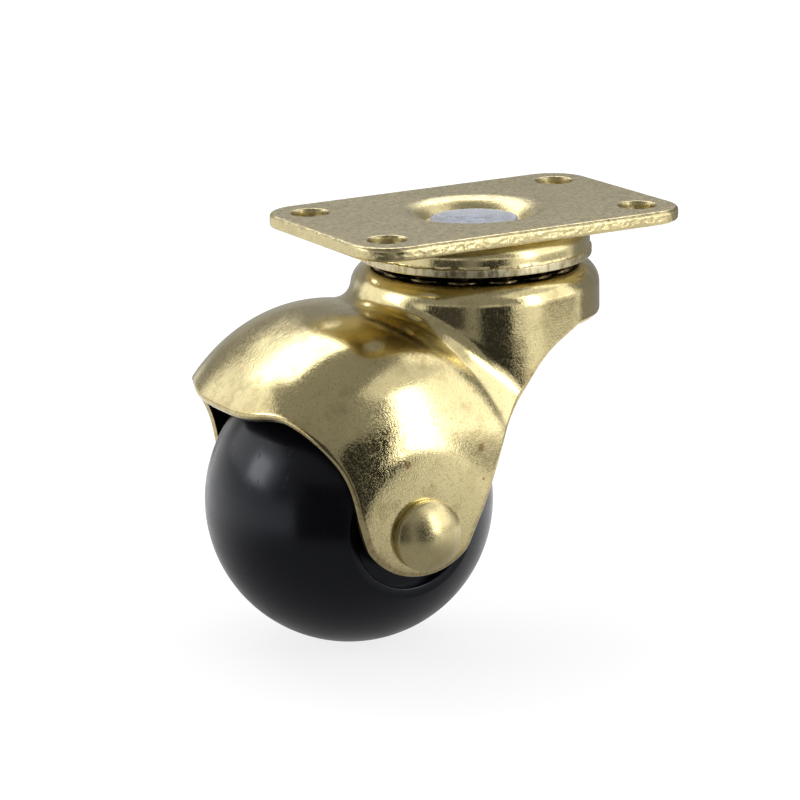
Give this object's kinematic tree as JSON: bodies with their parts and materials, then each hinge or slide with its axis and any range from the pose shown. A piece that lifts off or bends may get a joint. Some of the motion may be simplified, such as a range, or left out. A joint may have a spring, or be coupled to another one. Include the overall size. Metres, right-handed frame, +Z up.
{
  "type": "ball castor",
  "caption": "Swivelling furniture castor: a glossy black ball under a drawn brass-plated hood that turns on ball races below a dished bolt-on plate.",
  "frame": {"origin": "centre of the plate's upper face, on the swivel axis", "axes": "+Z up out of the plate's upper face, -X from the swivel axis towards the ball and the hood's nose, Y along the axle"},
  "size_m": [0.0829, 0.0608, 0.073],
  "materials": {
    "brass_plating": "bright brass plating on pressed steel, lightly grained",
    "zinc_steel": "zinc plating, satin",
    "bearing_steel": "polished",
    "black_ball": "moulded, glossy"
  },
  "bodies": {
    "base": {"top_plate": "brass_plating", "swivel_cap": "brass_plating", "kingpin": "zinc_steel", "lower_race": "zinc_steel"},
    "swivel": {"hood": "brass_plating", "axle": "brass_plating"},
    "wheel": {"ball_wheel": "black_ball"},
    "upper_ring": {"upper_race_balls": "bearing_steel"},
    "lower_ring": {"lower_race_balls": "bearing_steel"}
  },
  "joints": [
    {"name": "swivel_turn", "type": "hinge", "parent": "base", "child": "swivel", "pos_m": [0, 0, 0], "axis": [0, 0, 1], "continuous": true},
    {"name": "wheel_spin", "type": "hinge", "parent": "swivel", "child": "wheel", "pos_m": [-0.026, 0, -0.048], "axis": [0, 1, 0], "continuous": true},
    {"name": "upper_ring_turn", "type": "hinge", "parent": "base", "child": "upper_ring", "pos_m": [0, 0, 0], "axis": [0, 0, 1], "continuous": true},
    {"name": "lower_ring_turn", "type": "hinge", "parent": "base", "child": "lower_ring", "pos_m": [0, 0, 0], "axis": [0, 0, 1], "continuous": true}
  ],
  "couplings": [
    {"joint": "upper_ring_turn", "follows": "swivel_turn", "ratio": 0.5},
    {"joint": "lower_ring_turn", "follows": "swivel_turn", "ratio": 0.5}
  ]
}
